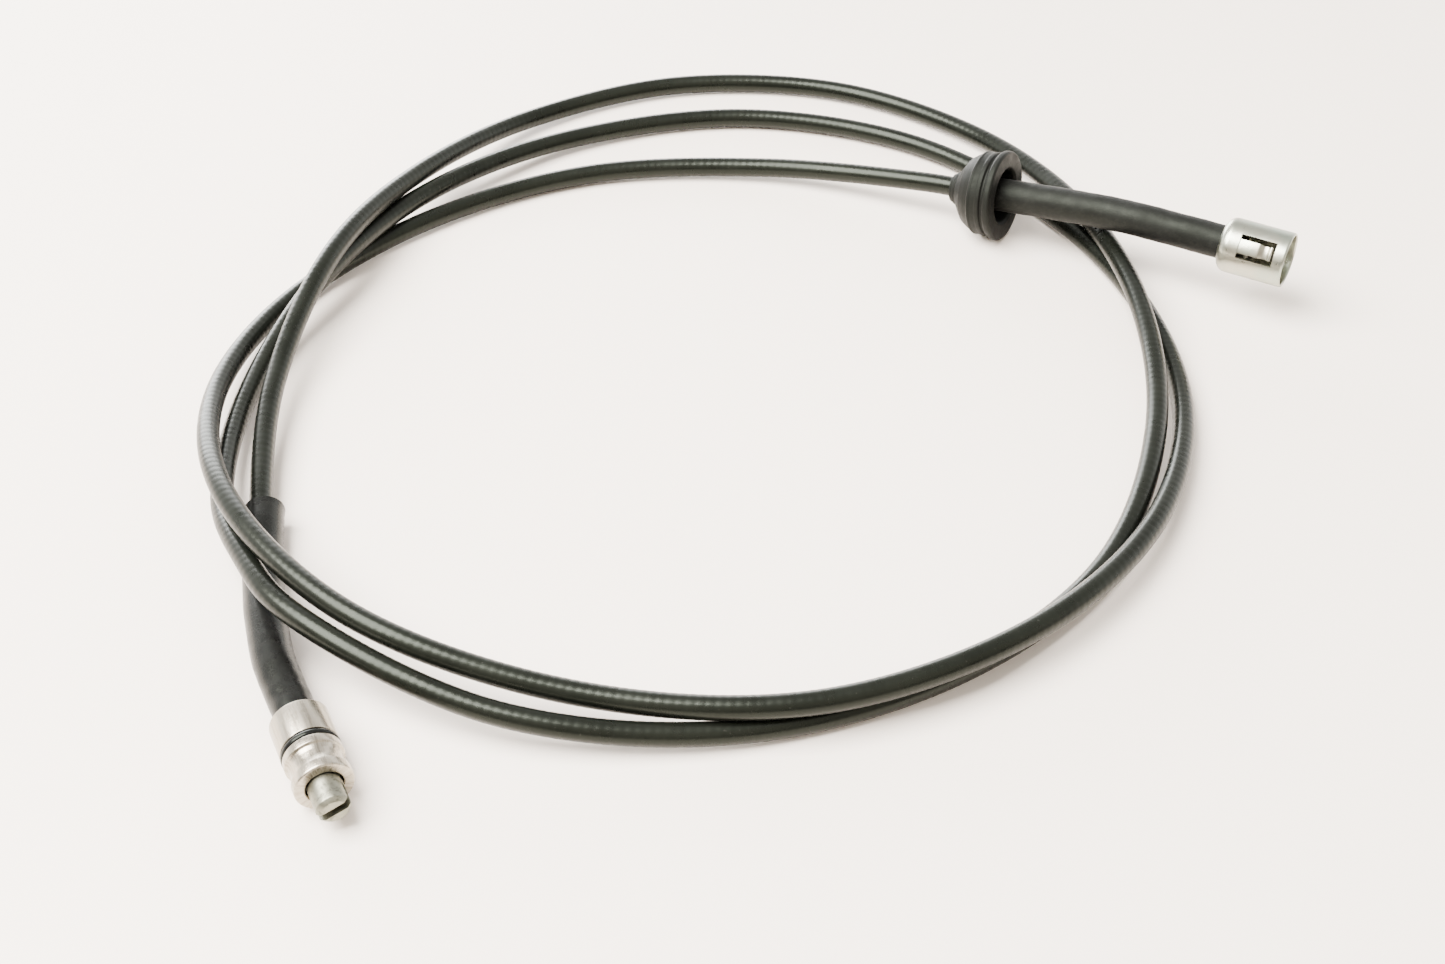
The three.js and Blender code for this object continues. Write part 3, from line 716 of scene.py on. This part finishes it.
def make_oil_seal(material):
    start = SHOULDER_TO + END_GAP + SEAL_CLEARANCE
    end = CHAMBER_TO - END_GAP
    bore = SPINDLE_R + SLIDING_GAP
    outside = CHAMBER_R - SLIDING_GAP
    outline = [(start, bore), (start, outside), (end, outside), (end, bore)]
    seal = turned("shaft_seal", GEARBOX_END, outline, soften=0.2, sides=64)
    dress(seal, "cable", material, "oil_seal")


def make_spindle(material):
    outline = [
        (SHAFT_BORE_TO, 0.0),
        (SHAFT_BORE_TO, SHAFT_BORE_R),
        (SPINDLE_BACK, SHAFT_BORE_R),
        (SPINDLE_BACK, JOURNAL_R),
        (SHOULDER_FROM, JOURNAL_R),
        (SHOULDER_FROM, SHOULDER_R),
        (SHOULDER_TO, SHOULDER_R),
        (SHOULDER_TO, SPINDLE_R),
        (SPINDLE_END - SPINDLE_CHAMFER, SPINDLE_R),
        (SPINDLE_END, SPINDLE_R - SPINDLE_CHAMFER),
        (SPINDLE_END, 0.0),
    ]
    spindle = turned("spindle", GEARBOX_END, outline, soften=0.2, sides=96)
    slot_place = GEARBOX_END @ Matrix.Rotation(SLOT_ANGLE, 4, "X")
    low = (SPINDLE_END - SLOT_DEPTH, -2 * SPINDLE_R, -SLOT_WIDTH / 2)
    high = (SPINDLE_END + SLOT_DEPTH, 2 * SPINDLE_R, SLOT_WIDTH / 2)
    carved(spindle, block("slot_cutter", slot_place, low, high))
    dress(spindle, "spindle", material, "drive_spindle")


def sleeve_radius(s, angle):
    """Puckered near the fitting, creased once, faintly wavy, and flared at the open end."""
    ripple = 1.15  # radians per millimetre, as are twist and swell
    sway = 1.2
    twist = 0.2
    swell = 0.35
    pucker = np.sin(s * ripple + sway * np.sin(angle)) * np.cos(angle * 2 + s * twist)
    pucker = PUCKER_HEIGHT * np.exp(-s / PUCKER_REACH) * pucker
    crease = CREASE_HEIGHT * np.exp(-((s - CREASE_AT) / CREASE_WIDTH) ** 2) * np.cos(angle - CREASE_SIDE)
    wave = SLEEVE_WAVE * np.sin(s * swell + angle)
    flare = SLEEVE_FLARE * np.exp(-(SLEEVE_LENGTH - s) / FLARE_REACH)
    return SLEEVE_R + pucker + crease + wave + flare


def sleeve_offset(s):
    """How far the sleeve's middle lies across and above the sheath's, where it is loose."""
    loose = np.clip((s - SLEEVE_LOOSE_FROM) / (SLEEVE_LENGTH - SLEEVE_LOOSE_FROM), 0, 1) ** 2
    return SLEEVE_SAG[0] * loose, SLEEVE_SAG[1] * loose


def make_sleeve(material):
    """Rubber sleeve pushed over the fitting's tail, up to the fitting's back."""
    over_the_tail = [np.array(END_A + OUT_A * step) for step in (FITTING_BACK - END_GAP, 1.0)]
    spare = 4  # of route beyond the sleeve's end
    beyond = ROUTE.at(np.linspace(0, SLEEVE_LENGTH + spare, 60))
    path = Path(np.vstack([*over_the_tail, beyond]))
    stations = np.linspace(0, SLEEVE_LENGTH - END_GAP, 240)
    sleeve = tube_mesh("sleeve", path, stations, sleeve_radius, SLEEVE_BORE_R, sides=48, offset=sleeve_offset)
    dress(sleeve, "cable", material, "gearbox_sleeve")


# ---- instrument end ----------------------------------------------------------------------------
def hose_radius(s, angle):
    """A slightly uneven hose: a long, flat wave and a short one that winds the other way."""
    flat_wave = 0.03 * np.sin(s * 0.45 + 2 * angle)
    short_wave = 0.02 * np.sin(s * 1.3 - angle)
    return HOSE_R + flat_wave + short_wave


def make_hose(material):
    """The hose from the grommet's recess to the collar's back."""
    hose_from = ROUTE.length - (ROUTE_MM[-1][0] - (GROMMET_MIDDLE_X - HOSE_IN_GROMMET))
    touch = 0.05  # short of the collar
    to_collar = np.array([[MOUTH[0] + COLLAR_BACK - touch, MOUTH[1], MOUTH[2]]])
    path = Path(np.vstack([ROUTE.at(np.linspace(hose_from, ROUTE.length, 60)), to_collar]))
    stations = np.linspace(0, path.length, 160)
    hose = tube_mesh("hose", path, stations, hose_radius, HOSE_BORE_R, sides=48)
    return dress(hose, "cable", material, "instrument_hose")


def shoulder(back, top, radius, steps=8):
    """A quarter circle from the collar's back up to its wall."""
    turns = [math.pi / 2 * i / steps for i in range(steps + 1)]
    return [(back + radius * (1 - math.cos(t)), top - radius * (1 - math.sin(t))) for t in turns]


def collar_outline():
    inner_back = COLLAR_BACK + COLLAR_WALL
    outside = shoulder(COLLAR_BACK, COLLAR_R, COLLAR_SHOULDER_R)
    inside = shoulder(inner_back, COLLAR_INNER_R, COLLAR_SHOULDER_R - COLLAR_WALL)
    lip = [
        (-LIP_OUTSIDE[0], COLLAR_R),
        (0.0, COLLAR_R - LIP_OUTSIDE[1]),
        (0.0, COLLAR_INNER_R + LIP_INSIDE[1]),
        (-LIP_INSIDE[0], COLLAR_INNER_R),
    ]
    return [(COLLAR_BACK, COLLAR_HOLE_R), *outside[1:], *lip, *reversed(inside), (inner_back, COLLAR_HOLE_R)]


def make_collar(material):
    """The snap collar, with a window for the tongue."""
    collar = turned("collar", INSTRUMENT_END, collar_outline(), soften=0.12, sides=144)
    window = wedge("window_cutter", INSTRUMENT_END, TONGUE_ANGLE, WINDOW_HALF, WINDOW_FROM, WINDOW_TO)
    carved(collar, window)
    return dress(collar, "collar", material, "snap_collar")


def make_tongue(material):
    """The sprung tongue, its nose pressed in."""
    outline = [(WINDOW_FROM, COLLAR_INNER_R), (WINDOW_FROM, COLLAR_R)]
    outline += [(TONGUE_TIP - behind, COLLAR_R - below) for behind, below in TONGUE_OUTSIDE]
    outline += [(TONGUE_TIP - behind, COLLAR_INNER_R - below) for behind, below in TONGUE_INSIDE]
    tongue = turned("tongue", INSTRUMENT_END, outline, soften=0.3, sides=192)
    low, high = WINDOW_FROM - 1, TONGUE_TIP + 1
    keep = wedge("tongue_cutter", INSTRUMENT_END, TONGUE_ANGLE, TONGUE_HALF, low, high)
    carved(tongue, keep, "INTERSECT")
    return dress(tongue, "tongue", material, "latch_tongue")


def make_ferrule(material):
    """Steel ferrule on the sheath's end: a tail over the sheath, a head in the collar, and a nose."""
    tail_from = SHEATH_END - FERRULE_TAIL
    outline = [
        (tail_from, SHEATH_R + SHEATH_PLAY),
        (tail_from, FERRULE_TAIL_R),
        (FERRULE_NECK_FROM, FERRULE_TAIL_R),
        (FERRULE_NECK_FROM, COLLAR_HOLE_R - END_GAP),
        (HEAD_FROM, COLLAR_HOLE_R - END_GAP),
        (HEAD_FROM, HEAD_R),
        (HEAD_TO, HEAD_R),
        (HEAD_TO, NOSE_R),
        (NOSE_TO - NOSE_BEVEL, NOSE_R),
        (NOSE_TO, NOSE_R - NOSE_BEVEL),
        (NOSE_TO, NOSE_BORE_R),
        (NOSE_BORE_FROM, NOSE_BORE_R),
        (NOSE_BORE_FROM, SHANK_BORE_R),
        (SHEATH_END + END_GAP, SHANK_BORE_R),
        (SHEATH_END + END_GAP, SHEATH_R + SHEATH_PLAY),
    ]
    ferrule = turned("ferrule", INSTRUMENT_END, outline, soften=0.12, sides=72)
    dress(ferrule, "cable", material, "instrument_ferrule")


def make_nose_bush(material):
    end = NOSE_TO + END_GAP
    outside = NOSE_BORE_R - SLIDING_GAP
    outline = [
        (NOSE_BUSH_FROM, NOSE_BUSH_BORE_R),
        (NOSE_BUSH_FROM, outside),
        (end, outside),
        (end, NOSE_BUSH_BORE_R),
    ]
    bush = turned("bush", INSTRUMENT_END, outline, soften=0.12, sides=48)
    dress(bush, "cable", material, "nose_bush")


def make_tip(material):
    """The square tip keeps its shape, with its edges broken."""
    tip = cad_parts["square_tip"]
    edge = tip.modifiers.new("edges", "BEVEL")
    edge.width = TIP_EDGE * MM
    edge.segments = 3
    edge.limit_method = "ANGLE"
    coat(tip, material)


def make_stop_ring(material):
    end = STOP_FROM + STOP_LENGTH
    outline = [(STOP_FROM, STOP_BORE_R), (STOP_FROM, STOP_R), (end, STOP_R), (end, STOP_BORE_R)]
    ring = turned("stop_ring", INSTRUMENT_END, outline, soften=0.1, sides=48)
    dress(ring, "tip", material, "core_stop")


# ---- bulkhead grommet --------------------------------------------------------------------------
def make_grommet(material):
    """A cone with two low rims, a panel groove, a flange, and a recess in the front."""
    back = -GROMMET_LENGTH
    rim_hollow = GROMMET_BODY_R - GROMMET_RIM_HOLLOW
    edge = GROMMET_RIM_EDGE
    outline = [
        (back, GROMMET_BORE_R),
        *((back + ahead, radius) for ahead, radius in GROMMET_TAIL),
        *GROMMET_CONE,
        (GROMMET_BACK_RIM[0], GROMMET_BODY_R - GROMMET_RIM_STEP),
        (GROMMET_BACK_RIM[0] + edge, GROMMET_BODY_R),
        (GROMMET_BACK_RIM[1] - edge, GROMMET_BODY_R),
        (GROMMET_BACK_RIM[1], rim_hollow),
        (GROMMET_FRONT_RIM[0], rim_hollow),
        (GROMMET_FRONT_RIM[0] + edge, GROMMET_BODY_R),
        (GROMMET_FRONT_RIM[1] - edge, GROMMET_BODY_R),
        *GROMMET_GROOVE,
        (-GROMMET_FLANGE, GROMMET_R - GROMMET_FLANGE_ROUND),
        (-GROMMET_FLANGE + GROMMET_FLANGE_ROUND, GROMMET_R),
        (-GROMMET_FLANGE_ROUND, GROMMET_R),
        (0.0, GROMMET_R - GROMMET_FLANGE_ROUND),
        (0.0, GROMMET_RECESS_R + GROMMET_EDGE),
        (-GROMMET_EDGE, GROMMET_RECESS_R),
        (-GROMMET_RECESS_DEPTH, GROMMET_RECESS_R - GROMMET_RECESS_DRAFT),
        (-GROMMET_RECESS_DEPTH, GROMMET_BORE_R),
    ]
    grommet = turned("grommet", grommet_place(), outline, soften=0.3, sides=128)
    return dress(grommet, "grommet", material, "bulkhead_grommet")


# ---- stage -------------------------------------------------------------------------------------
def make_floor():
    half = FLOOR_HALF
    corners = [(-half, -half, 0), (half, -half, 0), (half, half, 0), (-half, half, 0)]
    floor = new_object("floor", corners, [(0, 1, 2, 3)])
    material = bpy.data.materials.new("floor")
    material.use_nodes = True
    shader = material.node_tree.nodes["Principled BSDF"]
    shader.inputs["Base Color"].default_value = FLOOR_COLOUR
    shader.inputs["Roughness"].default_value = FLOOR_ROUGHNESS
    floor.data.materials.append(material)


def sky_levels(nodes, height, stops):
    """Sky brightness against height: stops are (height, level, warmth)."""
    ramp = nodes.new("ShaderNodeValToRGB")
    points = ramp.color_ramp.elements
    while len(points) < len(stops):
        points.new(0.5)
    for point, (position, level, warmth) in zip(points, stops):
        green = level * (1 - SKY_GREEN_LOSS * warmth)
        blue = level * (1 - SKY_BLUE_LOSS * warmth)
        point.position = position
        point.color = (level, green, blue, 1)
    nodes.id_data.links.new(height, ramp.inputs["Fac"])
    return ramp.outputs["Color"]


def sky_towards(nodes, direction, towards, start, end, level=1.0):
    """Level where the sky's direction is close to towards, and nothing away from it."""
    links = nodes.id_data.links
    closeness = nodes.new("ShaderNodeVectorMath")
    closeness.operation = "DOT_PRODUCT"
    closeness.inputs[1].default_value = towards.normalized()
    links.new(direction, closeness.inputs[0])
    step = nodes.new("ShaderNodeMapRange")
    step.interpolation_type = "SMOOTHSTEP"
    step.inputs["From Min"].default_value = start
    step.inputs["From Max"].default_value = end
    step.inputs["To Max"].default_value = level
    links.new(closeness.outputs["Value"], step.inputs["Value"])
    return step.outputs["Result"]


def sky_mix(nodes, a, b, blend):
    """Two skies mixed. Their factor stays open, as input 0."""
    mixed = nodes.new("ShaderNodeMix")
    mixed.data_type = "RGBA"
    mixed.blend_type = blend
    nodes.id_data.links.new(a, mixed.inputs[6])
    nodes.id_data.links.new(b, mixed.inputs[7])
    return mixed


def make_sky():
    """A soft white studio: bright behind the part, dim and warm on the camera's side, with one glare."""
    world = bpy.data.worlds.new("studio")
    world.use_nodes = True
    bpy.context.scene.world = world
    nodes, links = world.node_tree.nodes, world.node_tree.links
    background = nodes["Background"]
    background.inputs["Strength"].default_value = SKY_STRENGTH
    direction = nodes.new("ShaderNodeTexCoord").outputs["Generated"]
    split = nodes.new("ShaderNodeSeparateXYZ")
    links.new(direction, split.inputs[0])
    height = split.outputs["Z"]
    ahead = (CAMERA_AIM - CAMERA_AT) * Vector((1, 1, 0))
    far = sky_towards(nodes, direction, ahead, *SKY_TURN)
    sides = sky_mix(nodes, sky_levels(nodes, height, SKY_NEAR), sky_levels(nodes, height, SKY_FAR), "MIX")
    links.new(far, sides.inputs[0])
    glare = sky_towards(nodes, direction, GLARE_TOWARDS, *GLARE_EDGE, level=GLARE_LEVEL)
    lit = sky_mix(nodes, sides.outputs[2], glare, "ADD")
    lit.inputs[0].default_value = 1.0
    links.new(lit.outputs[2], background.inputs["Color"])


def make_key():
    """One large soft light, above and to the left."""
    light = bpy.data.objects.new("key", bpy.data.lights.new("key", "AREA"))
    bpy.context.scene.collection.objects.link(light)
    light.location = KEY_AT
    light.rotation_mode = "QUATERNION"
    light.rotation_quaternion = (-Vector(KEY_AT)).to_track_quat("-Z", "Y")
    light.data.shape = "SQUARE"
    light.data.size = KEY_SIZE
    light.data.energy = KEY_POWER
    light.data.color = KEY_COLOUR


def main():
    make_camera()
    looks = make_looks()
    sheath = make_sheath(looks["vinyl"])
    make_inner_tubes(looks["wire"])

    make_fitting(looks["aluminium"])
    make_o_ring(looks["seal"])
    make_oil_seal(looks["seal"])
    make_spindle(looks["spindle"])
    make_sleeve(looks["sleeve"])

    hose = make_hose(looks["hose"])
    collar = make_collar(looks["zinc"])
    tongue = make_tongue(looks["zinc"])
    make_ferrule(looks["steel"])
    make_nose_bush(looks["nylon"])
    make_tip(looks["steel"])
    make_stop_ring(looks["steel"])
    grommet = make_grommet(looks["grommet"])

    # Pieces that are always out of sight keep their plain shapes.
    coat(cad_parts["gearbox_ferrule"], looks["steel"])
    coat(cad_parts["bearing_bush"], looks["bronze"])
    coat(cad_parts["thrust_washer"], looks["steel"])
    coat(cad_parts["shaft_end"], looks["wire"])

    make_floor()
    make_sky()
    make_key()


main()
